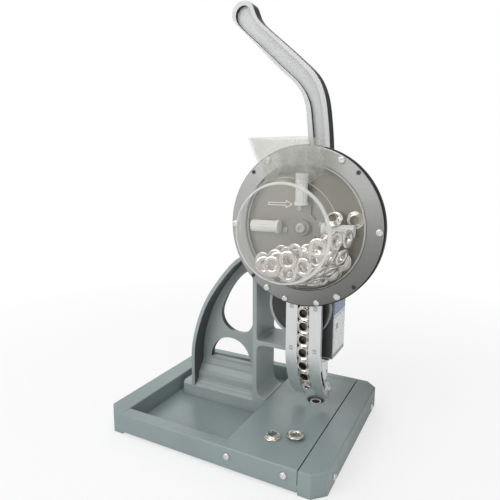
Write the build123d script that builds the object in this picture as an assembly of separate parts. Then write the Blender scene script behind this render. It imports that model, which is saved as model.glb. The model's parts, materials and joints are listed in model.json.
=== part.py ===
from build123d import *
import math
import os

# Hand-lever eyelet setting press with a rotary feed drum.
# Layout coordinates used below: x along the base from its left end, y from the
# front edge backwards, z up from the bench, all in mm. Every piece is shifted
# by (-CX, -CY) on writing, so the part's origin is the middle of the footprint.

os.makedirs("parts", exist_ok=True)

# ---------------------------------------------------------------- dimensions
BASE_L, BASE_W, BASE_H = 321.0, 258.0, 30.4     # tray base overall
SCREW_H = 2.6                                   # base screw heads stand out this far
CX = (352.3 - SCREW_H) / 2                      # middle of the overall footprint: the drum overhangs the right end
CY = BASE_W / 2
BAR_W = 30.0                                    # left and right end bars
CORNER = 15.0                                   # 45 degree corner chamfer
RIM = 16.0                                      # front rim of the tray
BACK_RIM = 13.6
FLOOR_Z0, FLOOR_Z1 = 2.9, 5.9                   # floor plate under the recess
TABLE_X = 190.0                                 # left edge of the flush table
BAR_R_X = 290.2                                 # left edge of the right end bar
SEAM = 0.9

FOOT_X0, FOOT_X1 = 43.0, 189.4                  # casting foot
FR_Y0, FR_Y1 = 126.0, 186.0                     # casting flanges
WEB_Y0, WEB_Y1 = 152.0, 160.0                   # casting web
POST_X0, POST_X1 = 167.5, 174.0
SHELF_Z0, SHELF_Z1 = 113.5, 119.6
HEAD_X0, HEAD_X1 = 221.0, 285.0
HEAD_Y0, HEAD_Y1 = 130.0, 184.0
HEAD_Z0, HEAD_Z1 = 111.0, 258.0

PIV_X, PIV_Z = 239.5, 181.5                     # lever shaft axis (along y)
BOSS_R = 44.0
BOSS_Y0, BOSS_Y1 = 122.0, 192.0
MOD, TEETH = 1.5, 26                            # pinion
PITCH_R = MOD * TEETH / 2                       # 19.5
SHAFT_R = 10.0

RAM_X, RAM_Y = 253.0, 163.0                     # die axis
DIE_R = 15.5
DIE_Z0 = 65.0                                   # bottom of the upper die at rest
STROKE = 32.6

DRUM_X, DRUM_Z = 250.9, 290.7                   # drum axis (along y)
RING_R, RING_HOLE = 100.0, 80.0
RING_Y0, RING_Y1 = 98.1, 101.1
GASKET_Y1 = 103.1
PLATE_Y1 = 109.1
DOME_R0, DOME_R1, DOME_Y = 79.6, 58.6, 30.8     # clear cover
WALL = 2.2

TRK_X = 250.6                                   # feed track centre
TRK_HALF, SLOT_HALF = 24.5, 8.3
TRK_Y, TRK_T = 110.0, 2.2                       # rail front face, thickness
TRK_R, TRK_Z = 100.0, 123.0                      # bend of the track
TRK_TOP = 207.0

# ---------------------------------------------------------------- helpers
nodes = {}


def put(name, shape):
    solids = shape.solids() if hasattr(shape, "solids") else shape
    solids = [s.moved(Location((-CX, -CY, 0))) for s in solids]
    shape = solids[0] if len(solids) == 1 else Compound(children=solids)
    shape.label = name
    nodes[name] = shape
    export_step(shape, f"parts/{name}.step")


def box(x0, x1, y0, y1, z0, z1):
    return Pos((x0 + x1) / 2, (y0 + y1) / 2, (z0 + z1) / 2) * Box(x1 - x0, y1 - y0, z1 - z0)


def cyl_y(x, z, r, y0, y1):
    return Pos(x, (y0 + y1) / 2, z) * Rot(90, 0, 0) * Cylinder(r, y1 - y0)


def cyl_z(x, y, r, z0, z1):
    return Pos(x, y, (z0 + z1) / 2) * Cylinder(r, z1 - z0)


def cyl_x(y, z, r, x0, x1):
    return Pos((x0 + x1) / 2, y, z) * Rot(0, 90, 0) * Cylinder(r, x1 - x0)


def group(items):
    out = []
    for i in items:
        out += list(i.solids())
    return Compound(children=out)


def solid_xz(face_or_wire_pts, y0, y1, closed_edges=None):
    """Prism from an outline in the x-z plane, between y0 and y1."""
    if closed_edges is not None:
        face = Face(Wire(closed_edges))
    else:
        face = Face(Wire.make_polygon([Vector(x, y0, z) for x, z in face_or_wire_pts], close=True))
    return Solid.extrude(face, Vector(0, y1 - y0, 0))


def solid_yz(pts, x0, x1):
    face = Face(Wire.make_polygon([Vector(x0, y, z) for y, z in pts], close=True))
    return Solid.extrude(face, Vector(x1 - x0, 0, 0))


def pan_screw(r_head, h_head, r_shank, length, recess=0.0):
    """Pan-head screw on +Z: head above z=0, shank below, cross recess in the head."""
    head = Cylinder(r_head, h_head, align=(Align.CENTER, Align.CENTER, Align.MIN))
    head = fillet(head.edges().group_by(Axis.Z)[-1], min(h_head, r_head) * 0.6)
    s = head + Cylinder(r_shank, length, align=(Align.CENTER, Align.CENTER, Align.MAX))
    if recess:
        w = r_head * 0.26
        cut = Pos(0, 0, h_head - recess / 2 + 0.05) * (
            Box(r_head * 1.05, w, recess) + Box(w, r_head * 1.05, recess))
        s = s - cut
    return s.solids()[0]


FRONT = Rot(90, 0, 0)            # +Z of a screw becomes -Y (towards the viewer)
BACK = Rot(-90, 0, 0)
RIGHT = Rot(0, 90, 0)
LEFT = Rot(0, -90, 0)


def at(x, y, z, rot, part):
    return (Pos(x, y, z) * rot * part).solids()[0]


# ---------------------------------------------------------------- tray base
def end_bar(x0, x1, left):
    b = box(x0, x1, 0, BASE_W, 0, BASE_H)
    xo = x0 if left else x1
    s = 1 if left else -1
    for y, d in ((0, 1), (BASE_W, -1)):
        tri = [(xo - s, y - d), (xo + s * CORNER, y - d), (xo + s * CORNER, y),
               (xo, y + d * CORNER), (xo - s, y + d * CORNER)]
        face = Face(Wire.make_polygon([Vector(px, py, -1) for px, py in tri], close=True))
        b = b - Solid.extrude(face, Vector(0, 0, BASE_H + 2))
    b = b.solids()[0]
    top = [e for e in b.edges() if abs(e.center().Z - BASE_H) < 1e-6]
    return chamfer(top, 0.8).solids()[0]


left_bar = end_bar(0, BAR_W, True)
right_bar = end_bar(BAR_R_X, BASE_L, False)

# welded tray body: front rim, flush table (hollow below), low skirt
tray = box(BAR_W, BAR_R_X - SEAM, 0, RIM, FLOOR_Z1, BASE_H)
tray += box(BAR_W, BAR_R_X - SEAM, 0, 5.0, FLOOR_Z0, FLOOR_Z1)
tray += box(TABLE_X, BAR_R_X - SEAM, RIM, BASE_W - BACK_RIM - 0.5, FLOOR_Z1, BASE_H)
tray += box(BAR_R_X - SEAM, BAR_R_X, 0, BASE_W - BACK_RIM - 0.5, FLOOR_Z1, 12.0)
tray -= box(TABLE_X + 6, BAR_R_X - 9, RIM + 6, BASE_W - BACK_RIM - 9, FLOOR_Z1 - 1, BASE_H - 7)
DIE_HOLE_R = 12.6
tray += cyl_z(RAM_X, RAM_Y, 24.0, FLOOR_Z1, BASE_H - 6)
tray -= cyl_z(RAM_X, RAM_Y, DIE_HOLE_R, FLOOR_Z1 - 1, BASE_H + 1)
tray = tray.solids()[0]
front_top = [e for e in tray.edges()
             if abs(e.center().Z - BASE_H) < 1e-6 and abs(e.center().Y) < 1e-6]
tray = chamfer(front_top, 1.2).solids()[0]

back_rail = box(BAR_W, BAR_R_X - 0.3, BASE_W - BACK_RIM, BASE_W, FLOOR_Z1, BASE_H)
back_rail += box(BAR_W, BAR_R_X - 0.3, BASE_W - 5, BASE_W, FLOOR_Z0, FLOOR_Z1)
back_rail = back_rail.solids()[0]
bt = [e for e in back_rail.edges() if abs(e.center().Z - BASE_H) < 1e-6 and e.length > 200]
back_rail = chamfer(bt, 0.7).solids()[0]

floor = box(BAR_W + 0.1, BAR_R_X - 0.6, 5.1, BASE_W - 5.1, FLOOR_Z0, FLOOR_Z1)

# base screws: front wall, end faces, and the same at the back and left
base_scr = []
for x in (198.0, 273.0):
    base_scr.append(at(x, 0, 19.2, FRONT, pan_screw(4.2, 2.6, 2.5, 11, 1.2)))
for x in (52.0, 160.0, 273.0):
    base_scr.append(at(x, BASE_W, 19.2, BACK, pan_screw(4.2, 2.6, 2.5, 11, 1.2)))
end_scr = []
for y in (37.8, 219.5):
    for z in (9.5,):
        end_scr.append(at(BASE_L, y, z, RIGHT, pan_screw(4.0, 2.6, 2.5, 12, 1.2)))
        end_scr.append(at(0, y, z, LEFT, pan_screw(4.0, 2.6, 2.5, 12, 1.2)))


def minus_screws(solid, screws, grow=None):
    out = solid
    for s in screws:
        out = out - s
    return out.solids()[0]


tray = minus_screws(tray, base_scr[:2])
back_rail = minus_screws(back_rail, base_scr[2:])
left_bar = minus_screws(left_bar, end_scr)
right_bar = minus_screws(right_bar, end_scr)

# ---------------------------------------------------------------- stand casting
# outer arc of the C-frame, outside line in x-z
ARC = [(59.3, 60.0), (61.6, 94.3), (68.6, 123.0), (80.5, 154.5), (95.2, 181.0), (113.5, 206.0),
       (130.4, 225.6), (147.5, 239.6), (176.0, 251.6), (HEAD_X0 + 4, HEAD_Z1)]


def arc_edges(pts, y):
    return Spline(*[Vector(x, y, z) for x, z in pts], tangents=[Vector(0, 0, 1), Vector(1, 0, 0.05)])


def offset_pts(pts, d):
    out = []
    for i, (x, z) in enumerate(pts):
        a = pts[max(i - 1, 0)]
        b = pts[min(i + 1, len(pts) - 1)]
        tx, tz = b[0] - a[0], b[1] - a[1]
        n = math.hypot(tx, tz)
        tx, tz = tx / n, tz / n
        if i == 0:
            tx, tz = 0.0, 1.0
        if i == len(pts) - 1:
            tx, tz = 1.0, 0.05
            n = math.hypot(tx, tz)
            tx, tz = tx / n, tz / n
        out.append((x + tz * d, z - tx * d))
    return out


def web_outline(y):
    e = arc_edges(ARC, y).edges()[0]
    p = [Vector(HEAD_X0 + 4, y, HEAD_Z1), Vector(HEAD_X0 + 4, y, SHELF_Z0 + 1), Vector(POST_X1 - 1, y, SHELF_Z0 + 1),
         Vector(POST_X1 - 1, y, 20), Vector(59.3, y, 20), Vector(59.3, y, 60)]
    edges = [e] + [Line(p[i], p[i + 1]).edges()[0] for i in range(len(p) - 1)]
    return edges


web = solid_xz(None, WEB_Y0, WEB_Y1, web_outline(WEB_Y0))

# perimeter flange following the arc
inner = offset_pts(ARC, 5.6)


def flange_edges(y):
    eo = arc_edges(ARC, y).edges()[0]
    ei = arc_edges(inner, y).edges()[0]
    a, b = Vector(ARC[0][0], y, ARC[0][1]), Vector(ARC[-1][0], y, ARC[-1][1])
    c, d = Vector(inner[0][0], y, inner[0][1]), Vector(inner[-1][0], y, inner[-1][1])
    lo_a, lo_c = Vector(ARC[0][0], y, 22), Vector(inner[0][0], y, 22)
    return [eo, Line(b, d).edges()[0], ei, Line(c, lo_c).edges()[0], Line(lo_c, lo_a).edges()[0],
            Line(lo_a, a).edges()[0]]


flange = solid_xz(None, FR_Y0, FR_Y1, flange_edges(FR_Y0))

# teardrop and half-moon lightening holes
TEAR = [(149.0, 213.6), (135.8, 206.8), (123.4, 194.0), (110.8, 174.2), (103.2, 157.6), (99.8, 143.5),
        (102.6, 130.2), (110.0, 121.6), (120.9, 116.2), (133.0, 114.6), (144.1, 118.0), (152.0, 127.0),
        (157.0, 142.9), (160.2, 163.8), (162.4, 184.6), (161.5, 202.0), (156.5, 211.5)]
tear_e = Spline(*[Vector(x, WEB_Y0 - 2, z) for x, z in TEAR], periodic=True).edges()
tear = Solid.extrude(Face(Wire(tear_e)), Vector(0, 12, 0))
MOON = [(80.0, 68.0), (80.9, 75.5), (86.4, 88.2), (96.6, 98.8), (109.5, 103.9), (122.5, 103.6), (133.4, 99.4),
        (141.6, 92.0), (148.0, 80.5), (151.5, 68.0)]
moon_e = Spline(*[Vector(x, WEB_Y0 - 2, z) for x, z in MOON]).edges()
moon_l = Line(Vector(151.5, WEB_Y0 - 2, 68.0), Vector(80.0, WEB_Y0 - 2, 68.0)).edges()
moon = Solid.extrude(Face(Wire(list(moon_e) + list(moon_l))), Vector(0, 12, 0))
web = web - tear - moon

# throat opening above the shelf, between post and round boss
gap = box(POST_X1, 240, WEB_Y0 - 2, WEB_Y1 + 2, SHELF_Z1 - 0.5, 205)
web = web - gap

# right-hand post flange with flared foot and rounded throat corner
post = box(POST_X0, POST_X1, FR_Y0, FR_Y1, 22, 252)
shelf = box(POST_X0, HEAD_X0 + 4, FR_Y0, FR_Y1, SHELF_Z0, SHELF_Z1)
fl = 15.0
flare = box(POST_X1 - 1, FOOT_X1, FR_Y0, FR_Y1, 22, 31 + fl) - cyl_y(POST_X1 + fl + 0.4, 31 + fl, fl, FR_Y0 - 1, FR_Y1 + 1)
flare = flare - box(POST_X1 + fl + 0.3, 200, FR_Y0 - 1, FR_Y1 + 1, 31.2, 60)
cr = 11.0
corner = box(POST_X1 - 1, POST_X1 + cr, FR_Y0, FR_Y1, SHELF_Z0 - cr, SHELF_Z0 + 1) - cyl_y(
    POST_X1 + cr, SHELF_Z0 - cr, cr, FR_Y0 - 1, FR_Y1 + 1)
cr2 = 5.0
corner2 = box(POST_X1 - 1, POST_X1 + cr2, FR_Y0, FR_Y1, SHELF_Z1 - 1, SHELF_Z1 + cr2) - cyl_y(
    POST_X1 + cr2, SHELF_Z1 + cr2, cr2, FR_Y0 - 1, FR_Y1 + 1)

# stepped foot, one profile in y-z run along x
ym = (FR_Y0 + FR_Y1) / 2
half = [(30.0, FLOOR_Z1 + 0.05), (30.0, 24.5), (25.0, 27.0), (23.0, 31.0), (19.5, 33.5), (18.5, 43.5),
        (14.5, 47.0), (9.5, 55.0), (6.5, 57.0), (4.0, 64.0)]
prof = [(ym - a, b) for a, b in half] + [(ym + a, b) for a, b in reversed(half)]
steps = solid_yz(prof, 62.0, POST_X1 - 1)
pad = solid_yz([(ym - 30, FLOOR_Z1 + 0.05), (ym - 30, 24.5), (ym - 26, 28.5), (ym + 26, 28.5), (ym + 30, 24.5),
                (ym + 30, FLOOR_Z1 + 0.05)], FOOT_X0, FOOT_X1)

# head box and round boss
head = box(HEAD_X0, HEAD_X1, HEAD_Y0, HEAD_Y1, HEAD_Z0, HEAD_Z1)
head = fillet([e for e in head.edges() if abs(e.center().Z - HEAD_Z1) < 1e-6 and abs(e.center().X - HEAD_X1) < 1e-6], 14)
head = chamfer([e for e in head.edges() if abs(e.center().Z - HEAD_Z0) < 1e-6 and abs(e.center().Y - HEAD_Y0) < 1e-6], 1.5)
boss = cyl_y(PIV_X, PIV_Z, BOSS_R, BOSS_Y0, BOSS_Y1)
boss = chamfer(boss.edges().filter_by(GeomType.CIRCLE), 1.2)

stand = web + flange + post + shelf + flare + corner + corner2 + steps + pad + head + boss

# guide for the ram, pocket for the pinion, bores for the shaft
GX0, GX1, GY0, GY1 = 235.95, 276.05, 145.95, 172.05
CL = 0.05
LOW_TOP = 152.0                                  # top of the ram's lower block at rest
stand -= box(GX0, GX1, GY0, GY1, HEAD_Z0 - 1, 157.0)
stand -= box(PIV_X + PITCH_R - MOD - 0.6, GX1, GY0, GY1, 150, 244)
stand -= cyl_y(PIV_X, PIV_Z, 22.6, GY0, GY1)
stand -= cyl_y(PIV_X, PIV_Z, 22.6, BOSS_Y0 - 1, GY0 + 1)       # assembly bore, closed by the front cap
stand -= cyl_y(PIV_X, PIV_Z, 39.6, BOSS_Y0 - 1, 126.4)         # round recess for the cap
stand -= cyl_y(PIV_X, PIV_Z, 14.0, GY1 - 1, BOSS_Y1 + 1)       # rear bush seat
stand = stand.solids().sort_by(SortBy.VOLUME)[-1]

# set screws on the right side of the head, gib screws
# stand bolts from below
bolts = []
for x in (62.0, 168.0):
    for y in (138.0, 174.0):
        b = cyl_z(x, y, 4.0, 0.4, 21.0) + cyl_z(x, y, 7.0, 0.4, FLOOR_Z0)
        b = b - Pos(x, y, 0.4) * extrude(RegularPolygon(2.9, 6), 1.8)
        bolts.append(b.solids()[0])
for b in bolts:
    stand = stand - cyl_z(b.center().X, b.center().Y, 4.0, 0, 21.0)
    floor = floor - cyl_z(b.center().X, b.center().Y, 4.0, 0, 21.0)
stand = stand.solids().sort_by(SortBy.VOLUME)[-1]
floor = floor.solids()[0]
tray_scr = []
for x, y in ((38, 10), (180, 10), (203, 30), (281, 30), (203, 235), (281, 235)):
    s = cyl_z(x, y, 2.5, 0.9, 11.5) + cyl_z(x, y, 4.6, 0.9, FLOOR_Z0)
    s = s - Pos(x, y, 0.9) * extrude(RegularPolygon(1.9, 6), 1.2)
    tray_scr.append(s.solids()[0])
    hole = cyl_z(x, y, 2.5, 0, 11.5)
    floor, tray = (floor - hole).solids()[0], (tray - hole).solids()[0]

# label plate on the right side of the head, and its rivets
label = box(HEAD_X1, HEAD_X1 + 0.8, 132.5, 181.5, 118.0, 196.0)
label = fillet([e for e in label.edges().filter_by(Axis.X)], 2.0)


# ---------------------------------------------------------------- lever shaft and pinion
def gear(n, m, y0, y1):
    """Trapezoid-flank spur gear, axis along y at the origin of x-z."""
    r = n * m / 2
    ro, rr = r + 0.92 * m, r - 1.25 * m
    pts = []
    half_pitch = math.pi / n / 2 * 0.94
    for i in range(n):
        a = 2 * math.pi * i / n
        tip = half_pitch * 0.50
        root = half_pitch * 1.42
        for rad, da in ((rr, -root), (ro, -tip), (ro, tip), (rr, root)):
            pts.append((rad * math.cos(a + da), rad * math.sin(a + da)))
    return pts


# tooth gap faces the rack (+x) at rest
gp = gear(TEETH, MOD, 0, 0)
gap_turn = math.pi / TEETH
gp = [(x * math.cos(gap_turn) - z * math.sin(gap_turn), x * math.sin(gap_turn) + z * math.cos(gap_turn)) for x, z in gp]
pinion = solid_xz([(PIV_X + x, PIV_Z + z) for x, z in gp], 148.0, 170.0)
LEV_Y0, LEV_Y1 = 202.0, 222.0
pin_shaft = pinion + cyl_y(PIV_X, PIV_Z, SHAFT_R, 124.0, 224.5) + cyl_y(PIV_X, PIV_Z, 12.5, 146.4, 171.6)
pin_shaft += cyl_y(PIV_X, PIV_Z, 8.0, 224.5, 236.0)
pin_shaft = chamfer(pin_shaft.edges().filter_by(GeomType.CIRCLE).sort_by(Axis.Y)[-1], 1.0)
KEY = box(PIV_X - 2.5, PIV_X + 2.5, LEV_Y0 + 1, LEV_Y1 - 1, PIV_Z + 7.0, PIV_Z + 12.5)
pin_shaft = (pin_shaft - box(PIV_X - 2.5, PIV_X + 2.5, LEV_Y0 + 1, LEV_Y1 - 1, PIV_Z + 7.0, PIV_Z + 13)).solids()[0]
key = KEY.solids()[0]

# bearings: front cap with spigot, rear bush
front_cap = cyl_y(PIV_X, PIV_Z, 39.0, 122.6, 126.4) + cyl_y(PIV_X, PIV_Z, 22.5, 126.4, 145.9)
front_cap -= cyl_y(PIV_X, PIV_Z, SHAFT_R + CL, 123.7, 150)
cap_scr = []
for k in range(4):
    a = math.radians(45 + 90 * k)
    cap_scr.append(at(PIV_X + 31 * math.cos(a), 122.6, PIV_Z + 31 * math.sin(a), FRONT, pan_screw(3.6, 0.9, 2.0, 12)))
front_cap = front_cap.solids()[0]
for s in cap_scr:
    front_cap = (front_cap - s).solids()[0]
    stand = (stand - s).solids().sort_by(SortBy.VOLUME)[-1]
rear_bush = cyl_y(PIV_X, PIV_Z, 14.0, 172.05, 192.0) + cyl_y(PIV_X, PIV_Z, 19.0, 192.0, 195.0)
rear_bush = (rear_bush - cyl_y(PIV_X, PIV_Z, SHAFT_R + CL, 170, 196)).solids()[0]
collar = cyl_y(PIV_X, PIV_Z, 16.0, 195.4, 201.6) - cyl_y(PIV_X, PIV_Z, SHAFT_R, 190, 203)
collar = chamfer(collar.edges().filter_by(GeomType.CIRCLE).sort_by(SortBy.LENGTH)[-2:], 0.8).solids()[0]

# ---------------------------------------------------------------- ram with rack
rack_x = PIV_X + PITCH_R                          # pitch line
root_x, tip_x = rack_x + 1.25 * MOD, rack_x - 0.92 * MOD
DIE_TOP = 102.0
ram = box(GX0 + CL, GX1 - CL, GY0 + CL, GY1 - CL, DIE_TOP, LOW_TOP)
ram += box(root_x, GX1 - CL, GY0 + CL, GY1 - CL, LOW_TOP - 1, 236.0)
pitch = math.pi * MOD
ztooth = []
k0, k1 = -2, 10
for k in range(k0, k1 + 1):
    zc = PIV_Z + k * pitch
    h = pitch / 2 * 0.94 / 2
    ztooth.append([(root_x + 0.2, zc - h * 1.42), (tip_x, zc - h * 0.5), (tip_x, zc + h * 0.5), (root_x + 0.2, zc + h * 1.42)])
for t in ztooth:
    ram += solid_xz(t, 148.0, 170.0)
# round spigot seat below for the upper die
ram -= cyl_z(RAM_X, RAM_Y, 6.0, DIE_TOP - 1, 122.0)
ram = ram.solids()[0]

die_u = cyl_z(RAM_X, RAM_Y, DIE_R, DIE_Z0, DIE_TOP)
die_u = fillet(die_u.edges().filter_by(GeomType.CIRCLE).sort_by(Axis.Z)[0], 2.2)
die_u -= cyl_z(RAM_X, RAM_Y, DIE_R + 1, 95.0, 96.6) - cyl_z(RAM_X, RAM_Y, DIE_R - 1.2, 94.0, 97.6)
die_u = die_u.solids()[0]
die_u = chamfer([e for e in die_u.edges().filter_by(GeomType.CIRCLE) if abs(e.center().Z - DIE_TOP) < 1e-3], 0.8).solids()[0]
die_u += cyl_z(RAM_X, RAM_Y, 6.0, DIE_TOP, 120.0)
die_u -= cyl_z(RAM_X, RAM_Y, 5.05, DIE_Z0 - 1, 112.0)                      # bore for the pilot pin
groove = cyl_z(RAM_X, RAM_Y, 11.4, DIE_Z0 - 1, DIE_Z0 + 1.6) - cyl_z(RAM_X, RAM_Y, 6.6, DIE_Z0 - 2, DIE_Z0 + 3)
die_u = (die_u - groove).solids()[0]
# spring-loaded pilot pin (rides in the upper die)
pilot = cyl_z(RAM_X, RAM_Y, 5.0, DIE_Z0 - 7.0, 90.0)
pilot = chamfer(pilot.edges().filter_by(GeomType.CIRCLE).sort_by(Axis.Z)[0], 1.8).solids()[0]
set_scr = cyl_x(RAM_Y, 78.5, 2.5, RAM_X + DIE_R - 6.0, RAM_X + DIE_R - 0.6)
set_scr = (set_scr - Pos(RAM_X + DIE_R - 2.0, RAM_Y, 78.5) * Rot(0, 90, 0) * extrude(RegularPolygon(1.4, 6), 2)).solids()[0]
die_u = (die_u - cyl_x(RAM_Y, 78.5, 2.5, RAM_X + DIE_R - 6.0, RAM_X + DIE_R + 3)).solids()[0]

# lower die, sunk in the round hole of the table: a rolled nose inside a deep ring groove
die_l = cyl_z(RAM_X, RAM_Y, DIE_HOLE_R - 0.2, FLOOR_Z1, 22.5) + cyl_z(RAM_X, RAM_Y, 8.4, 22.0, 28.0)
die_l = fillet(die_l.edges().filter_by(GeomType.CIRCLE).sort_by(Axis.Z)[-1], 1.4)
die_l = (die_l - cyl_z(RAM_X, RAM_Y, 5.8, BASE_H - 22, BASE_H + 1)).solids()[0]
die_l = chamfer([e for e in die_l.edges().filter_by(GeomType.CIRCLE) if abs(e.radius - 5.8) < 1e-3 and e.center().Z > 27], 0.9).solids()[0]

# ---------------------------------------------------------------- hand lever
# outline in x-z on the lever plane, left side bottom to top then right side back down
LEV = [(228.5, 230.0), (226.5, 290.0), (223.0, 350.0), (219.8, 382.0), (216.6, 408.0), (214.3, 431.0), (211.2, 453.0),
       (206.0, 467.5), (195.7, 482.0), (174.9, 501.0), (142.7, 531.8), (118.2, 555.6), (100.4, 572.2), (93.8, 580.0), (92.0, 589.0),
       (95.9, 598.1), (104.6, 603.8), (113.1, 604.5), (121.3, 601.8), (126.2, 596.3), (129.8, 587.4), (135.2, 577.0), (145.0, 566.6),
       (164.5, 549.8), (183.8, 532.9), (201.2, 517.3), (215.0, 504.6), (225.0, 494.0), (232.2, 483.3), (237.3, 472.1), (241.3, 459.0),
       (245.2, 436.0), (248.4, 407.2), (250.8, 370.0), (252.6, 330.0), (253.5, 290.0), (253.0, 230.0)]
# long recess, its rim 6 to 8 mm wide, running right up into the rounded grip end
LEV_POCKET = [(234.0, 262.0), (232.4, 300.0), (229.6, 350.0), (226.8, 385.0), (224.4, 408.0), (221.8, 430.4), (218.2, 453.0), (213.6, 464.6),
              (203.6, 480.0), (181.2, 501.2), (151.8, 528.0), (125.0, 552.2), (106.4, 569.2), (99.9, 577.9), (98.3, 586.5), (101.8, 594.2),
              (108.6, 597.9), (115.0, 597.6), (120.4, 594.0), (123.6, 588.0), (128.0, 579.4), (135.4, 569.3), (151.8, 554.2),
              (171.0, 536.9), (190.3, 519.6), (206.0, 504.8), (216.8, 493.6), (224.2, 482.6), (229.7, 471.3), (233.8, 459.6),
              (237.6, 439.0), (241.3, 407.4), (244.0, 370.0), (246.0, 320.0), (246.7, 262.0)]


def lever_spline(y, pts, d):
    """Closed smooth outline, inset by d."""
    n = len(pts)
    out = []
    for i in range(n):
        a, b = pts[(i - 1) % n], pts[(i + 1) % n]
        if i == 0:
            a = (pts[0][0] + 1.0, pts[0][1] - 40)
        if i == n - 1:
            b = (pts[-1][0] + 0.5, pts[-1][1] - 40)
        tx, tz = b[0] - a[0], b[1] - a[1]
        L = math.hypot(tx, tz)
        out.append((pts[i][0] + tz / L * d, pts[i][1] - tx / L * d))
    return out


def lever_face(y, d, z_low=None):
    pts = lever_spline(y, LEV, d)
    vs = [Vector(x, y, z) for x, z in pts]
    sp = Spline(*vs).edges()[0]
    return Face(Wire([sp, Line(vs[-1], vs[0]).edges()[0]]))


lever = Solid.extrude(lever_face(LEV_Y0, 0), Vector(0, LEV_Y1 - LEV_Y0, 0))
hub = cyl_y(PIV_X, PIV_Z, 21.0, LEV_Y0 - 0.0, LEV_Y1)
root = solid_xz([(228.5, 231.0), (253.0, 231.0), (PIV_X + 19.5, PIV_Z + 8), (PIV_X - 19.5, PIV_Z + 8)], LEV_Y0 + 1.0, LEV_Y1 - 1.0)
lever = (lever + hub + root).solids()[0]
POCKET = 6.2
for y in (LEV_Y0, LEV_Y1 - POCKET):
    vs = [Vector(x, y, z) for x, z in LEV_POCKET]
    sp = Spline(*vs).edges()[0]
    face = Face(Wire([sp, Line(vs[-1], vs[0]).edges()[0]]))
    lever = lever - Solid.extrude(face, Vector(0, POCKET, 0))
lever = lever.solids().sort_by(SortBy.VOLUME)[-1]
lever = (lever - cyl_y(PIV_X, PIV_Z, SHAFT_R, LEV_Y0 - 2, LEV_Y1 + 2) - KEY).solids().sort_by(SortBy.VOLUME)[-1]
washer = (cyl_y(PIV_X, PIV_Z, 15.0, 224.5, 226.5) - cyl_y(PIV_X, PIV_Z, 8.0, 220, 230)).solids()[0]
nut = Pos(PIV_X, 226.5, PIV_Z) * BACK * extrude(RegularPolygon(13.0, 6), 7.5)
nut = (nut - cyl_y(PIV_X, PIV_Z, 8.0, 220, 240)).solids()[0]
# spacer ring between lever hub and washer
spacer = (cyl_y(PIV_X, PIV_Z, 14.0, 222.0, 224.5) - cyl_y(PIV_X, PIV_Z, SHAFT_R, 218, 228)).solids()[0]

# ---------------------------------------------------------------- drum
ring = cyl_y(DRUM_X, DRUM_Z, RING_R, RING_Y0, RING_Y1) - cyl_y(DRUM_X, DRUM_Z, RING_HOLE, RING_Y0 - 1, RING_Y1 + 1)
ring = chamfer([e for e in ring.edges().filter_by(GeomType.CIRCLE) if abs(e.center().Y - RING_Y0) < 1e-3], 0.6)
DOME_FL = 88.0
gasket = cyl_y(DRUM_X, DRUM_Z, RING_R + 1.4, RING_Y1, GASKET_Y1) - cyl_y(DRUM_X, DRUM_Z, DOME_FL + 0.2, RING_Y1 - 1, GASKET_Y1 + 1)
# back housing: shallow dish in which the rotor disc turns
plate = cyl_y(DRUM_X, DRUM_Z, RING_R + 1.4, GASKET_Y1, PLATE_Y1)
plate -= cyl_y(DRUM_X, DRUM_Z, 78.4, GASKET_Y1 - 1, PLATE_Y1 - 2.0)
# exit window at the bottom, above the track
plate -= box(TRK_X - SLOT_HALF, TRK_X + SLOT_HALF, GASKET_Y1 - 1, PLATE_Y1 + 1, 193.5, 214.0)

ring_scr_pos = [(DRUM_X + 95.0 * math.cos(math.radians(a)), DRUM_Z + 95.0 * math.sin(math.radians(a)))
                for a in (0, 60, 120, 180, 240, 300)]
ring_scr = [at(x, RING_Y0, z, FRONT, pan_screw(4.3, 2.9, 2.0, 8.6, 1.3)) for x, z in ring_scr_pos]
trk_scr_pos = [(DRUM_X + 96.0 * math.cos(math.radians(a)), DRUM_Z + 96.0 * math.sin(math.radians(a))) for a in (-103, -77)]
trk_scr = [at(x, RING_Y0, z, FRONT, pan_screw(3.8, 2.7, 2.0, 13.6, 1.2)) for x, z in trk_scr_pos]
small_pos = [(DRUM_X + 96.0 * math.cos(math.radians(a)), DRUM_Z + 96.0 * math.sin(math.radians(a))) for a in (45, 135, 225, 315)]
small_scr = []
for x, z in small_pos:
    s = cyl_y(x, z, 2.6, RING_Y0 - 0.5, RING_Y0 + 1.2) + cyl_y(x, z, 1.5, RING_Y0 + 1.2, 106.0)
    s = s - Pos(x, RING_Y0 - 0.5, z) * FRONT * extrude(RegularPolygon(1.3, 6), -1.2)
    small_scr.append(s.solids()[0])

dome_o = [(DRUM_X, DOME_Y), (DRUM_X + DOME_R1 - 4, DOME_Y), (DRUM_X + DOME_R1 - 1.2, DOME_Y + 1.2), (DRUM_X + DOME_R1, DOME_Y + 4),
          (DRUM_X + DOME_R0, RING_Y0 + 2), (DRUM_X + DOME_R0, RING_Y1), (DRUM_X + DOME_FL, RING_Y1), (DRUM_X + DOME_FL, GASKET_Y1),
          (DRUM_X + DOME_R0 - WALL, GASKET_Y1), (DRUM_X + DOME_R0 - WALL, RING_Y0 + 2), (DRUM_X + DOME_R1 - WALL, DOME_Y + 5),
          (DRUM_X + DOME_R1 - WALL - 1.6, DOME_Y + WALL), (DRUM_X, DOME_Y + WALL)]
dome_face = Face(Wire.make_polygon([Vector(x, y, DRUM_Z) for x, y in dome_o], close=True))
dome = Solid.revolve(dome_face, 360, Axis((DRUM_X, 0, DRUM_Z), (0, 1, 0)))

# clear hopper funnel let into the top of the cover: a four-sided chute, wide at the top, all sides slanting
FUN_TOP = [(206.0, 38.5), (274.8, 38.5), (279.2, 93.0), (211.6, 93.0)]      # at z = 397.5
FUN_LOW = [(222.6, 47.5), (278.0, 47.5), (282.0, 85.0), (217.5, 85.0)]      # at z = 352
FUN_SIDE = [(-1, -1), (1, -1), (1, 1), (-1, 1)]


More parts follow.
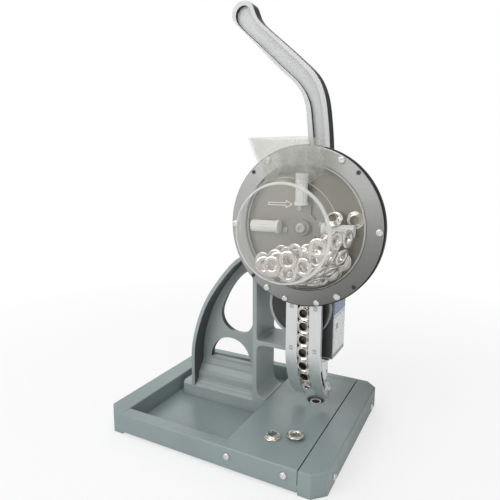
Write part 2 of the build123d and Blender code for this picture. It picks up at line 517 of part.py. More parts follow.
def funnel_quad(z, grow):
    t = (397.5 - z) / (397.5 - 352.0)
    return Wire.make_polygon([Vector(a[0] + (b[0] - a[0]) * t + grow * g[0], a[1] + (b[1] - a[1]) * t + grow * g[1], z)
                              for a, b, g in zip(FUN_TOP, FUN_LOW, FUN_SIDE)], close=True)


def funnel_solid(grow, z0, z1):
    return Solid.make_loft([funnel_quad(z0, grow), funnel_quad(z1, grow)], ruled=True)


funnel = funnel_solid(0, 341.0, 397.5) - funnel_solid(-2.2, 340.9, 397.6)
# the bottom of the funnel follows the cover
cone_big = Solid.revolve(Face(Wire.make_polygon([Vector(DRUM_X, 20, DRUM_Z), Vector(DRUM_X + DOME_R1 + 0.3 - 0.33 * (DOME_Y + 4 - 20), 20, DRUM_Z),
                                                Vector(DRUM_X + DOME_R0 + 0.3, RING_Y0 + 2, DRUM_Z), Vector(DRUM_X, RING_Y0 + 2, DRUM_Z)], close=True)),
                         360, Axis((DRUM_X, 0, DRUM_Z), (0, 1, 0)))
funnel = (funnel - cone_big).solids().sort_by(SortBy.VOLUME)[-1]
mouth = box(230.0, 272.0, 52.0, 81.0, 330.0, 400.0)
dome = (dome - mouth).solids()[0]

# rotor inside the drum
ROT_Y = PLATE_Y1 - 2.3                            # back of the rotor disc
rotor = cyl_y(DRUM_X, DRUM_Z, 77.6, ROT_Y - 2.4, ROT_Y) - cyl_y(DRUM_X, DRUM_Z, 6.0, 96, 110)
rotor = rotor.solids()[0]
HUB_Y = ROT_Y - 2.4
hub_pl = cyl_y(DRUM_X, DRUM_Z, 19.0, HUB_Y - 3.2, HUB_Y) + box(DRUM_X - 42, DRUM_X + 42, HUB_Y - 3.2, HUB_Y, DRUM_Z - 10, DRUM_Z + 10) + box(
    DRUM_X - 10, DRUM_X + 10, HUB_Y - 3.2, HUB_Y, DRUM_Z - 42, DRUM_Z + 42)
hub_pl += cyl_y(DRUM_X, DRUM_Z, 10.5, HUB_Y - 9.0, HUB_Y - 3.2)
hub_pl = chamfer([e for e in hub_pl.edges().filter_by(GeomType.CIRCLE) if abs(e.center().Y - (HUB_Y - 9.0)) < 1e-3], 0.8)
hub_pl -= cyl_y(DRUM_X, DRUM_Z, 6.0, 80, 110)
hub_pl = hub_pl.solids()[0]
# four fluted rollers with a collar at the hub end, standing on the arms of the hub plate
PAD_Y = HUB_Y - 3.2 - 7.6                         # axis depth of the rollers
paddles = []
for k in range(4):
    p = cyl_x(PAD_Y, DRUM_Z, 7.4, DRUM_X + 31.0, DRUM_X + 67.0)
    for i in range(12):
        a = math.radians(30 * i + 15)
        p -= cyl_x(PAD_Y + 7.9 * math.cos(a), DRUM_Z + 7.9 * math.sin(a), 1.25, DRUM_X + 33.4, DRUM_X + 68.0)
    p += cyl_x(PAD_Y, DRUM_Z, 8.6, DRUM_X + 28.5, DRUM_X + 32.4)
    p += box(DRUM_X + 33.0, DRUM_X + 60.0, PAD_Y, PAD_Y + 7.6, DRUM_Z - 3.0, DRUM_Z + 3.0)
    p -= box(DRUM_X + 20, DRUM_X + 70, PAD_Y + 7.6, PAD_Y + 12, DRUM_Z - 12, DRUM_Z + 12)
    p = p.solids().sort_by(SortBy.VOLUME)[-1]
    paddles.append(p.rotate(Axis((DRUM_X, 0, DRUM_Z), (0, 1, 0)), 90 * k).solids()[0])
pad_scr = []
for k in range(4):
    s = at(DRUM_X + 23.6, HUB_Y - 3.2, DRUM_Z + 4.6, FRONT, pan_screw(3.6, 2.0, 1.6, 3.1, 1.0))
    pad_scr.append(s.rotate(Axis((DRUM_X, 0, DRUM_Z), (0, 1, 0)), 90 * k).solids()[0])
for s in pad_scr:
    hub_pl = (hub_pl - s).solids()[0]
drum_shaft = cyl_y(DRUM_X, DRUM_Z, 6.0, HUB_Y - 9.0, 128.0)
drum_bolt = cyl_y(DRUM_X, DRUM_Z, 6.4, HUB_Y - 13.2, HUB_Y - 9.0)
drum_bolt = fillet(drum_bolt.edges().sort_by(Axis.Y)[0], 1.4)
drum_bolt = (drum_bolt - Pos(DRUM_X, HUB_Y - 13.3, DRUM_Z) * BACK * extrude(RegularPolygon(3.2, 6), 2.8)).solids()[0]
drum_shaft = drum_shaft.solids()[0]
plate -= cyl_y(DRUM_X, DRUM_Z, 6.0 + CL, GASKET_Y1 - 1, PLATE_Y1 + 1)

# drive motor behind the drum on a bracket standing on the head
gearbox = box(DRUM_X - 28, DRUM_X + 28, PLATE_Y1 + 6, 136.0, DRUM_Z - 28, DRUM_Z + 28)
gearbox = fillet(gearbox.edges().filter_by(Axis.Y), 7)
gearbox -= cyl_y(DRUM_X, DRUM_Z, 6.0 + CL, 100, 130.0)
motor = cyl_y(DRUM_X, DRUM_Z, 24.0, 136.0, 172.0)
motor = chamfer(motor.edges().filter_by(GeomType.CIRCLE).sort_by(Axis.Y)[-1], 2.0)
spacers, gscr = [], []
for dx in (-21, 21):
    for dz in (-21, 21):
        spacers.append(cyl_y(DRUM_X + dx, DRUM_Z + dz, 4.0, PLATE_Y1, PLATE_Y1 + 6) - cyl_y(DRUM_X + dx, DRUM_Z + dz, 2.0, 100, 120))
        gscr.append(cyl_y(DRUM_X + dx, DRUM_Z + dz, 2.0, PLATE_Y1 - 1.4, 124.0))
spacers = [s.solids()[0] for s in spacers]
gscr = [s.solids()[0] for s in gscr]
for s in gscr:
    plate, gearbox = plate - s, gearbox - s
# bracket: L plate from the head top up to the back housing
brk = box(DRUM_X - 38, DRUM_X + 26, PLATE_Y1, PLATE_Y1 + 5, 232.0, 259.0)
brk += box(DRUM_X - 38, DRUM_X + 26, PLATE_Y1, 176.0, HEAD_Z1, HEAD_Z1 + 4.4)
brk = brk.solids()[0]
brk_scr = []
for dx in (-30, 18):
    s1 = at(DRUM_X + dx, 166.0, HEAD_Z1 + 4.4, Rot(0, 0, 0), pan_screw(4.2, 2.8, 2.5, 14, 1.2))
    brk_scr.append(s1)
    s2 = cyl_y(DRUM_X + dx, 245.0, 2.5, PLATE_Y1 - 1.4, PLATE_Y1 + 5) + cyl_y(DRUM_X + dx, 245.0, 4.4, PLATE_Y1 + 5, PLATE_Y1 + 7.6)
    brk_scr.append(s2.solids()[0])
for s in brk_scr:
    brk = (brk - s).solids()[0]
    stand = (stand - s).solids().sort_by(SortBy.VOLUME)[-1]
    plate = plate - s

# ---------------------------------------------------------------- feed track
TRK_ANG = 54                                      # degrees of bend at the mouth
LIP = 4.1                                         # depth of the channel behind the rail faces


def strip(off, t, ang1, z_top):
    """y-z outline of a strip whose front face lies 'off' behind the rail front face."""
    r0, r1 = TRK_R - off, TRK_R - off - t
    cy = TRK_Y + TRK_R
    pts = [(TRK_Y + off, z_top)]
    n = int(ang1 / 2)
    for i in range(n + 1):
        a = math.radians(ang1) * i / n
        pts.append((cy - r0 * math.cos(a), TRK_Z - r0 * math.sin(a)))
    for i in range(n, -1, -1):
        a = math.radians(ang1) * i / n
        pts.append((cy - r1 * math.cos(a), TRK_Z - r1 * math.sin(a)))
    pts.append((TRK_Y + off + t, z_top))
    return pts


rails = {}
die_sweep = cyl_z(RAM_X, RAM_Y, DIE_R + 0.7, 20, 125)
for side, name in ((-1, "track_rail_left"), (1, "track_rail_right")):
    xa, xb = sorted((TRK_X + side * SLOT_HALF, TRK_X + side * TRK_HALF))
    r = solid_yz(strip(0, TRK_T, TRK_ANG, TRK_TOP), xa, xb)
    xa, xb = sorted((TRK_X + side * TRK_HALF, TRK_X + side * (TRK_HALF - 13.0)))
    r += solid_yz(strip(TRK_T, LIP, 16, TRK_TOP), xa, xb)
    # jaw lug behind the mouth, carries the jaw screw
    xa, xb = sorted((TRK_X + side * TRK_HALF, TRK_X + side * (TRK_HALF - 5.2)))
    lug = solid_yz([(133.5, 60.5), (139.0, 67.0), (150.0, 67.5), (157.5, 64.0), (160.5, 56.0), (157.0, 47.0), (151.4, 42.4),
                    (145.0, 47.5), (138.0, 54.5)], xa, xb)
    r += lug
    r = r - die_sweep
    rails[name] = r.solids().sort_by(SortBy.VOLUME)[-1]
back_strip = solid_yz(strip(TRK_T + LIP, 1.2, 34, 188.0), TRK_X - TRK_HALF, TRK_X + TRK_HALF)
back_strip = (back_strip - die_sweep).solids().sort_by(SortBy.VOLUME)[-1]

# hanger between back housing and rails
hanger = box(TRK_X - TRK_HALF, TRK_X + TRK_HALF, PLATE_Y1, TRK_Y, 192.0, TRK_TOP) - box(
    TRK_X - SLOT_HALF, TRK_X + SLOT_HALF, 100, 120, 190, 210)
hanger = [s for s in hanger.solids()]
# track side screws
side_scr = []
for s in (-1, 1):
    for z in (172.0, 138.0):
        side_scr.append(at(TRK_X + s * 19.6, TRK_Y + TRK_T + LIP + 1.2, z, BACK, pan_screw(3.0, 1.5, 1.5, 5.2)))
jaw_y, jaw_z = 151.5, 58.2
jaw_scr = [at(TRK_X + TRK_HALF, jaw_y, jaw_z, RIGHT, pan_screw(4.0, 3.2, 1.6, 4.4, 1.3)),
           at(TRK_X - TRK_HALF, jaw_y, jaw_z, LEFT, pan_screw(4.0, 3.2, 1.6, 4.4, 1.3))]
# small countersunk pins seen as dots on the rail faces
rivets = []
for s in (-1, 1):
    for z in (126.2, 184.5):
        p = cyl_y(TRK_X + s * 16.6, z, 3.2, TRK_Y - 0.25, TRK_Y + TRK_T + LIP)
        p = p - box(TRK_X + s * 16.6 - 4, TRK_X + s * 16.6 + 4, TRK_Y - 1, TRK_Y + 0.5, z - 0.4, z + 0.4)
        rivets.append(p.solids()[0])
# cut all track fasteners out of what they pass through
for s in trk_scr:
    ring, gasket, plate = ring - s, gasket - s, plate - s
    hanger = [(h - s).solids()[0] for h in hanger]
    for n in rails:
        rails[n] = (rails[n] - s).solids().sort_by(SortBy.VOLUME)[-1]
for s in ring_scr + small_scr:
    ring, gasket, plate = ring - s, gasket - s, plate - s
for s in side_scr + rivets:
    back_strip = (back_strip - s).solids().sort_by(SortBy.VOLUME)[-1]
    for n in rails:
        rails[n] = (rails[n] - s).solids().sort_by(SortBy.VOLUME)[-1]
for s in jaw_scr:
    for n in rails:
        rails[n] = (rails[n] - s).solids().sort_by(SortBy.VOLUME)[-1]
ring, gasket, plate, gearbox = ring.solids()[0], gasket.solids()[0], plate.solids()[0], gearbox.solids()[0]

# ---------------------------------------------------------------- eyelets
E_FL, E_BR, E_IN, E_H = 10.8, 6.5, 5.7, 5.2


def eyelet():
    """Brass-nickel eyelet, flange at z=0..1.7, barrel up to E_H, axis +Z."""
    pr = [(E_IN, 0.5), (E_IN + 0.9, 0.0), (E_FL - 1.4, 0.0), (E_FL - 0.3, 0.5), (E_FL, 1.3), (E_FL - 0.4, 1.7), (E_FL - 1.6, 1.2),
          (E_BR + 0.9, 1.2), (E_BR, 1.9), (E_BR, E_H), (E_IN, E_H)]
    f = Face(Wire.make_polygon([Vector(x, 0, z) for x, z in pr], close=True))
    return Solid.revolve(f, 360, Axis.Z)


EY = eyelet()


def quat_place(x, y, z, qw, qx, qy, qz):
    m = [[1 - 2 * (qy * qy + qz * qz), 2 * (qx * qy - qz * qw), 2 * (qx * qz + qy * qw)],
         [2 * (qx * qy + qz * qw), 1 - 2 * (qx * qx + qz * qz), 2 * (qy * qz - qx * qw)],
         [2 * (qx * qz - qy * qw), 2 * (qy * qz + qx * qw), 1 - 2 * (qx * qx + qy * qy)]]
    pl = Plane(origin=(x, y, z), x_dir=(m[0][0], m[1][0], m[2][0]), z_dir=(m[0][2], m[1][2], m[2][2]))
    return EY.moved(Location(pl))


# resting places of the loose eyelets in the drum, in front of the rollers: centre and quaternion
DRUM_EYELETS = [
    (294.00, 34.04, 278.50, 0.4518, -0.4615, -0.5425, -0.5373),
    (288.60, 42.65, 264.50, 0.2180, -0.1883, 0.7207, 0.6305),
    (259.00, 34.04, 261.70, 0.4705, -0.5101, 0.5174, 0.5008),
    (239.50, 34.47, 253.80, 0.5997, -0.6427, -0.3623, -0.3098),
    (257.40, 39.51, 245.20, 0.6842, -0.6722, 0.1873, 0.2119),
    (276.60, 36.25, 254.80, 0.4315, -0.4514, -0.5257, -0.5777),
    (226.00, 41.61, 251.20, 0.2634, -0.1892, -0.7188, -0.6149),
    (264.50, 41.74, 269.30, 0.2740, -0.1287, 0.6831, 0.6647),
    (310.24, 51.05, 285.24, 0.3944, 0.3743, -0.5777, -0.6087),
    (304.37, 54.71, 264.78, 0.5413, 0.3337, -0.4050, -0.6569),
    (292.56, 51.16, 247.30, 0.6918, 0.1461, -0.3573, -0.6102),
    (276.60, 51.57, 238.27, 0.7026, 0.0794, -0.2489, -0.6619),
    (253.76, 51.86, 231.54, 0.6955, -0.1274, -0.0585, -0.7047),
    (317.57, 71.90, 284.84, 0.4419, 0.4103, -0.5428, -0.5846),
    (311.26, 72.12, 262.85, 0.4695, 0.3236, -0.4662, -0.6764),
    (297.27, 72.16, 243.94, 0.7039, 0.0669, -0.3539, -0.6122),
    (281.36, 70.47, 231.63, 0.7061, 0.0383, -0.2560, -0.6591),
    (258.12, 72.52, 223.96, 0.7059, -0.0416, -0.1264, -0.6957),
    (221.48, 48.70, 254.92, 0.6633, -0.5738, -0.2961, -0.3783),
    (232.38, 57.10, 250.79, 0.2892, -0.1951, -0.6978, -0.6256),
    (282.26, 48.00, 261.27, 0.5105, -0.8200, -0.1280, 0.2249),
    (243.95, 41.70, 258.27, 0.4391, -0.4300, -0.5912, -0.5223),
    (248.86, 50.10, 251.58, 0.3581, -0.7672, 0.3460, 0.4043),
    (262.79, 49.40, 261.35, 0.2138, -0.1166, -0.7070, -0.6640),
    (279.14, 57.10, 259.83, 0.3027, -0.3920, -0.6125, -0.6161),
    (248.45, 60.60, 261.91, 0.0357, -0.0330, 0.6636, 0.7465),
    (225.57, 63.51, 242.00, 0.4634, -0.4475, -0.5115, -0.5687),
    (227.18, 69.70, 255.27, 0.5859, -0.6007, 0.4078, 0.3599),
    (247.99, 66.90, 251.64, 0.4418, -0.5419, 0.4774, 0.5321),
    (261.75, 58.49, 244.88, 0.5365, -0.5755, -0.3957, -0.4737),
    (262.02, 65.38, 240.29, 0.4528, -0.5276, 0.5105, 0.5060),
    (284.74, 68.60, 270.41, 0.2617, 0.3324, -0.6606, 0.6202),
    (260.16, 73.09, 242.94, 0.1666, -0.0431, 0.7326, 0.6585),
    (219.85, 75.29, 245.20, 0.6805, -0.7129, -0.1418, -0.0921),
    (280.51, 70.40, 270.62, 0.2852, -0.2081, 0.6215, 0.6993),
    (237.88, 71.54, 239.62, 0.2717, -0.3030, 0.6499, 0.6419),
    (294.70, 52.20, 275.92, 0.7939, -0.3410, -0.4508, -0.2243),
    (267.20, 76.70, 264.13, 0.5477, -0.5104, -0.4894, -0.4473),
    (232.73, 78.10, 259.78, 0.5837, -0.4978, -0.4464, -0.4606),
    (278.81, 78.09, 244.27, 0.4151, -0.3776, -0.5604, -0.6091),
    (296.21, 78.29, 260.48, 0.4897, -0.4976, -0.5230, -0.4890),
    (275.97, 62.70, 251.99, 0.6783, -0.7311, 0.0148, -0.0727),
    (263.06, 72.10, 260.80, 0.5459, 0.4669, -0.5109, 0.4723),
    (245.06, 78.86, 233.84, 0.2816, -0.2479, 0.6536, 0.6573),
    (299.97, 61.94, 278.80, 0.6437, -0.7160, 0.1201, 0.2419),
    (245.70, 77.70, 257.21, 0.6262, 0.6889, -0.1918, 0.3106),
    (292.60, 74.60, 279.02, 0.3681, -0.2049, 0.4072, 0.8103),
]
# those caught between the rollers
ROTOR_EYELETS = [
    (269.10, 91.07, 250.48, 0.7010, 0.7085, -0.0450, 0.0671),
    (303.45, 91.64, 255.97, 0.6469, 0.6787, 0.2836, -0.2010),
    (266.89, 86.95, 230.95, 0.2776, -0.3442, 0.6169, 0.6511),
    (288.38, 91.67, 239.96, 0.6326, 0.7203, -0.1893, 0.2125),
    (235.71, 93.91, 227.81, 0.5954, 0.6973, -0.3922, -0.0730),
    (215.41, 93.72, 234.77, 0.4021, 0.8134, 0.2397, -0.3453),
    (220.93, 94.68, 244.38, 0.5472, 0.6254, -0.4925, 0.2585),
    (292.84, 93.88, 303.49, 0.4355, 0.2082, -0.3754, 0.7912),
    (273.98, 92.17, 246.95, -0.1731, 0.1134, 0.6938, 0.6897),
    (304.22, 97.45, 253.71, 0.6343, 0.6610, 0.3224, -0.2387),
    (269.03, 98.35, 228.38, 0.6539, 0.6612, -0.2611, 0.2590),
    (288.81, 97.73, 238.01, 0.6242, 0.6861, -0.2596, 0.2689),
    (316.20, 103.95, 303.21, 0.6938, 0.6938, 0.1363, -0.1363),
    (272.17, 103.12, 247.62, 0.6848, 0.7068, -0.1064, 0.1421),
    (303.86, 98.06, 251.58, -0.1177, 0.0549, 0.6795, 0.7221),
    (276.31, 98.70, 230.25, 0.0963, -0.0987, 0.6978, 0.7029),
    (292.03, 103.95, 238.47, 0.6828, 0.6829, -0.1837, 0.1837),
    (238.39, 103.95, 225.40, 0.6384, 0.6385, -0.3039, 0.3039),
    (217.84, 103.95, 233.02, 0.6720, 0.6720, 0.2200, -0.2200),
    (229.76, 99.04, 250.69, 0.4945, 0.8194, -0.1994, 0.2103),
]
drum_eye = [quat_place(*p) for p in DRUM_EYELETS]
rotor_eye = [quat_place(*p) for p in ROTOR_EYELETS]

# the chain in the track: barrels to the front, flanges lapping like shingles
track_eye = []
cyc = TRK_Y + TRK_R
fy = TRK_T + LIP / 2 + 0.75                    # flange face behind the rail front
pitch_e = 18.3
lap = math.radians(6.5)
z = TRK_TOP - 13.0
while z > TRK_Z:
    n = Vector(0, -math.cos(lap), math.sin(lap))
    track_eye.append(EY.moved(Location(Plane(origin=(TRK_X, TRK_Y + fy, z), x_dir=(1, 0, 0), z_dir=(n.X, n.Y, n.Z)))))
    z -= pitch_e
a = (TRK_Z - z) / (TRK_R - fy)
while a < math.radians(44.0):
    c = Vector(0, -math.cos(a), -math.sin(a))
    o = Vector(TRK_X, cyc, TRK_Z) + c * (TRK_R - fy)
    track_eye.append(EY.moved(Location(Plane(origin=(o.X, o.Y, o.Z), x_dir=(1, 0, 0),
                                             z_dir=(0, -math.cos(a - lap), -math.sin(a - lap))))))
    a += pitch_e / (TRK_R - fy)

# one barrel up, one barrel down
loose = [EY.moved(Location((237.3, 46.5, BASE_H + 0.02))),
         EY.moved(Location(Plane(origin=(263.6, 58.6, BASE_H + E_H + 0.02), x_dir=(1, 0, 0), z_dir=(0, 0, -1))))]

# ---------------------------------------------------------------- write
put("base_floor_plate", floor)
put("tray_body", tray)
put("back_rail", back_rail)
put("end_bar_left", left_bar)
put("end_bar_right", right_bar)
put("base_wall_screws", group(base_scr))
put("end_bar_screws", group(end_scr))
put("tray_screws", group(tray_scr))
put("stand_casting", stand)
put("stand_bolts", group(bolts))
put("head_side_label", label)
put("shaft_front_cap", front_cap)
put("front_cap_screws", group(cap_scr))
put("shaft_rear_bush", rear_bush)
put("pinion_shaft", pin_shaft)
put("shaft_collar", collar)
put("lever_key", key)
put("hand_lever", lever)
put("lever_spacer", spacer)
put("lever_washer", washer)
put("lever_nut", nut)
put("ram_rack", ram)
put("upper_die", die_u)
put("pilot_pin", pilot)
put("die_set_screw", set_scr)
put("lower_die", die_l)
put("ring_plate", ring)
put("drum_gasket", gasket)
put("drum_back_plate", plate)
put("ring_screws", group(ring_scr))
put("ring_small_screws", group(small_scr))
put("drum_cover", dome)
put("hopper_funnel", funnel)
put("rotor_disc", rotor)
put("rotor_hub_plate", hub_pl)
put("paddles", group(paddles))
put("hub_plate_screws", group(pad_scr))
put("drum_shaft", drum_shaft)
put("drum_shaft_bolt", drum_bolt)
put("gearbox", gearbox)
put("drive_motor", motor)
put("gearbox_spacers", group(spacers))
put("gearbox_screws", group(gscr))
put("drum_bracket", brk)
put("bracket_screws", group(brk_scr))
for n, r in rails.items():
    put(n, r)
put("track_back_strip", back_strip)
put("track_hangers", group(hanger))
put("track_screws", group(trk_scr))
put("track_side_screws", group(side_scr))
put("track_rivets", group(rivets))
put("track_jaw_screws", group(jaw_scr))
put("eyelets_in_drum", group(drum_eye))
put("eyelets_on_rotor", group(rotor_eye))
put("eyelets_in_track", group(track_eye))
put("eyelets_on_table", group(loose))
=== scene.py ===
import json
import math
import random
import bpy
import bmesh
import numpy as np
from mathutils import Vector, Matrix

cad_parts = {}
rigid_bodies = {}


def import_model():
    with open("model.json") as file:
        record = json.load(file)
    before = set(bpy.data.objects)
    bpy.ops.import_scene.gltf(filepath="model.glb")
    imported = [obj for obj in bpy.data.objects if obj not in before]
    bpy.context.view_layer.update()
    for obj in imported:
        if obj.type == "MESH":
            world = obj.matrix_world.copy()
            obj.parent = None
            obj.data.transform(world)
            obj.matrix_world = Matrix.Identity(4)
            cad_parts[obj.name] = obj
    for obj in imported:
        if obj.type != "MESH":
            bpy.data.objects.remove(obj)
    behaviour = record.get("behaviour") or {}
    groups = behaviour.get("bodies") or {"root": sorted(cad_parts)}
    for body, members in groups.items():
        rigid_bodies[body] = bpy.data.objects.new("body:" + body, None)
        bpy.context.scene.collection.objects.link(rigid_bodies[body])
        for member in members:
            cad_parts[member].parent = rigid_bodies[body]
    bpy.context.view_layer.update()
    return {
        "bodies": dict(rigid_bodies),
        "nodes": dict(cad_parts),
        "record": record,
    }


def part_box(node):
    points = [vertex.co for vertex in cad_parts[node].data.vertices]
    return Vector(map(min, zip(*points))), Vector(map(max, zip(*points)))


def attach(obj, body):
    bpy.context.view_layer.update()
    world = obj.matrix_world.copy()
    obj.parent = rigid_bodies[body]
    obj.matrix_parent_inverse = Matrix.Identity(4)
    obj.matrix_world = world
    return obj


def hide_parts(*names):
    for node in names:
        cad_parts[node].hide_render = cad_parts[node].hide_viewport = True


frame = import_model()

NODES, BODIES = frame["nodes"], frame["bodies"]
_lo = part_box("end_bar_left")[0]
OX, OY = -_lo.x, -_lo.y            # layout origin: front left corner of the base


def P(x, y, z):
    """Layout millimetres to row-frame metres."""
    return Vector((x / 1000 - OX, y / 1000 - OY, z / 1000))


# ------------------------------------------------------------------ materials
class G:
    """Small helper round a node tree."""

    def __init__(self, name):
        self.mat = bpy.data.materials.new(name)
        self.mat.use_nodes = True
        self.nt = self.mat.node_tree
        self.nt.nodes.clear()
        self.out = self.n("ShaderNodeOutputMaterial")
        self.tc = self.n("ShaderNodeTexCoord")

    def n(self, kind, **kw):
        node = self.nt.nodes.new(kind)
        for k, v in kw.items():
            if k in node.inputs.keys():
                node.inputs[k].default_value = v
            else:
                setattr(node, k, v)
        return node

    def link(self, a, b):
        self.nt.links.new(a, b)

    def mapping(self, scale=(1, 1, 1), rot=(0, 0, 0), src="Object"):
        m = self.n("ShaderNodeMapping")
        m.inputs["Scale"].default_value = scale
        m.inputs["Rotation"].default_value = rot
        self.link(self.tc.outputs[src], m.inputs["Vector"])
        return m.outputs["Vector"]

    def noise(self, scale, detail=3.0, rough=0.55, vec=None, dist=0.0):
        t = self.n("ShaderNodeTexNoise")
        t.inputs["Scale"].default_value = scale
        t.inputs["Detail"].default_value = detail
        t.inputs["Roughness"].default_value = rough
        t.inputs["Distortion"].default_value = dist
        self.link(vec if vec is not None else self.tc.outputs["Object"], t.inputs["Vector"])
        return t.outputs["Fac"]

    def voronoi(self, scale, feature="F1", vec=None):
        t = self.n("ShaderNodeTexVoronoi")
        t.feature = feature
        t.inputs["Scale"].default_value = scale
        self.link(vec if vec is not None else self.tc.outputs["Object"], t.inputs["Vector"])
        return t.outputs["Distance"]

    def ramp(self, fac, a, b, va=0.0, vb=1.0):
        m = self.n("ShaderNodeMapRange")
        m.inputs["From Min"].default_value = a
        m.inputs["From Max"].default_value = b
        m.inputs["To Min"].default_value = va
        m.inputs["To Max"].default_value = vb
        self.link(fac, m.inputs["Value"])
        return m.outputs["Result"]

    def math(self, op, a, b=None, clamp=False):
        m = self.n("ShaderNodeMath", operation=op)
        m.use_clamp = clamp
        for i, v in enumerate((a, b)):
            if v is None:
                continue
            if isinstance(v, (int, float)):
                m.inputs[i].default_value = v
            else:
                self.link(v, m.inputs[i])
        return m.outputs[0]

    def mix(self, fac, a, b):
        m = self.n("ShaderNodeMix", data_type="RGBA")
        if isinstance(fac, (int, float)):
            m.inputs[0].default_value = fac
        else:
            self.link(fac, m.inputs[0])
        for i, v in ((6, a), (7, b)):
            if isinstance(v, (tuple, list)):
                m.inputs[i].default_value = (*v[:3], 1)
            else:
                self.link(v, m.inputs[i])
        return m.outputs[2]

    def bump(self, height, strength, dist=0.001, normal=None):
        b = self.n("ShaderNodeBump")
        b.inputs["Strength"].default_value = strength
        b.inputs["Distance"].default_value = dist
        self.link(height, b.inputs["Height"])
        if normal is not None:
            self.link(normal, b.inputs["Normal"])
        return b.outputs["Normal"]

    def bevel(self, radius):
        b = self.n("ShaderNodeBevel")
        b.samples = 6
        b.inputs["Radius"].default_value = radius
        return b.outputs["Normal"]

    def edge_mask(self, radius, a=0.02, b=0.25):
        """1 near edges, 0 on flat faces."""
        g = self.n("ShaderNodeNewGeometry")
        d = self.n("ShaderNodeVectorMath", operation="DOT_PRODUCT")
        self.link(self.bevel(radius), d.inputs[0])
        self.link(g.outputs["True Normal"], d.inputs[1])
        inv = self.math("SUBTRACT", 1.0, d.outputs["Value"])
        return self.ramp(inv, a, b)

    def normal_xyz(self):
        g = self.n("ShaderNodeNewGeometry")
        s = self.n("ShaderNodeSeparateXYZ")
        self.link(g.outputs["True Normal"], s.inputs[0])
        return s.outputs

    def pos_xyz(self):
        s = self.n("ShaderNodeSeparateXYZ")
        self.link(self.tc.outputs["Object"], s.inputs[0])
        return s.outputs

    def ao(self, dist):
        a = self.n("ShaderNodeAmbientOcclusion")
        a.samples = 6
        a.inputs["Distance"].default_value = dist
        return a.outputs["AO"]

    def principled(self, **kw):
        b = self.n("ShaderNodeBsdfPrincipled")
        for k, v in kw.items():
            sock = b.inputs[k]
            if isinstance(v, (int, float)):
                sock.default_value = v
            elif isinstance(v, (tuple, list)):
                sock.default_value = (*v[:3], 1) if len(v) in (3, 4) and sock.type == "RGBA" else v
            else:
                self.link(v, sock)
        return b

    def done(self, shader):
        self.link(shader, self.out.inputs["Surface"])
        return self.mat


def scale_col(c, k):
    return tuple(min(1.0, x * k) for x in c)


def paint(name, col, rough=0.40, peel=0.10, wear=0.55, round_mm=0.9, side_painted_shade=None, crease_shade=0.35, coat=0.25, falloff=None):
    """Satin machine enamel over metal: orange peel, faint cloudiness, edges worn and painted bright (partly a painted
    highlight), painted shade in creases, and optional painted shade by position or facing.
    """
    g = G(name)
    cloud = g.noise(9.0, 4.0)
    speck = g.noise(420.0, 2.0, 0.6)
    c = g.mix(g.ramp(cloud, 0.3, 0.7), scale_col(col, 0.93), scale_col(col, 1.07))
    c = g.mix(g.ramp(speck, 0.60, 0.72, 0.0, 0.18), c, scale_col(col, 1.35))
    # painted shade: creases and recesses that the AO node finds occluded are painted darker
    crease_painted_shade = g.ramp(g.ao(0.012), 0.15, 0.85, crease_shade, 0.0)
    c = g.mix(crease_painted_shade, c, scale_col(col, 0.32))
    # edges painted lighter and chipped by noise: partly paint wear, partly a painted highlight along the edges
    edge = g.edge_mask(0.0011)
    chip = g.ramp(g.noise(120.0, 4.0, 0.7), 0.42, 0.62)
    wear_and_edge_highlight = g.math("MULTIPLY", edge, g.ramp(chip, 0.0, 1.0, 0.35, 1.0))
    wear_and_edge_highlight = g.math("MULTIPLY", wear_and_edge_highlight, wear)
    c = g.mix(wear_and_edge_highlight, c, scale_col(col, 1.9))
    # painted shade by position, when a mask is given
    if falloff is not None:
        c = g.mix(falloff(g), c, scale_col(col, 0.30))
    # painted shade: faces picked by the mask are painted near black
    if side_painted_shade is not None:
        c = g.mix(side_painted_shade(g), c, (0.012, 0.014, 0.014))
    r = g.ramp(g.noise(60.0, 3.0), 0.3, 0.7, rough - 0.05, rough + 0.07)
    nb = g.bevel(round_mm / 1000)
    nb = g.bump(g.noise(900.0, 2.0, 0.5), peel, 0.0004, nb)
    b = g.principled(**{"Base Color": c, "Roughness": r, "Normal": nb, "Coat Weight": coat, "Coat Roughness": 0.28})
    return g.done(b.outputs[0])


def metal(name, col, rough=0.25, brush=None, brush_strength=0.10, wear=0.35, round_mm=0.35, tint=None, stain=0.10, var=0.07, shade=None):
    """Bare metal. brush is a mapping scale that stretches the grain."""
    g = G(name)
    vec = g.mapping(brush) if brush else g.tc.outputs["Object"]
    grain = g.noise(1.0 if brush else 500.0, 5.0, 0.7, vec)
    cloud = g.noise(14.0, 4.0)
    c = g.mix(g.ramp(grain, 0.3, 0.7), scale_col(col, 1 - var), scale_col(col, 1 + var))
    c = g.mix(g.ramp(cloud, 0.45, 0.75, 0.0, stain), c, tint or scale_col(col, 0.6))
    c = g.mix(g.math("MULTIPLY", g.edge_mask(0.0006), wear), c, scale_col(col, 1.25))
    # painted shade by position, when a mask is given
    if shade is not None:
        c = g.mix(shade(g), c, scale_col(col, 0.30))
    r = g.ramp(grain, 0.25, 0.75, rough - 0.06, rough + 0.10)
    nb = g.bump(grain, brush_strength, 0.0002, g.bevel(round_mm / 1000))
    b = g.principled(**{"Base Color": c, "Roughness": r, "Metallic": 1.0, "Normal": nb})
    return g.done(b.outputs[0])


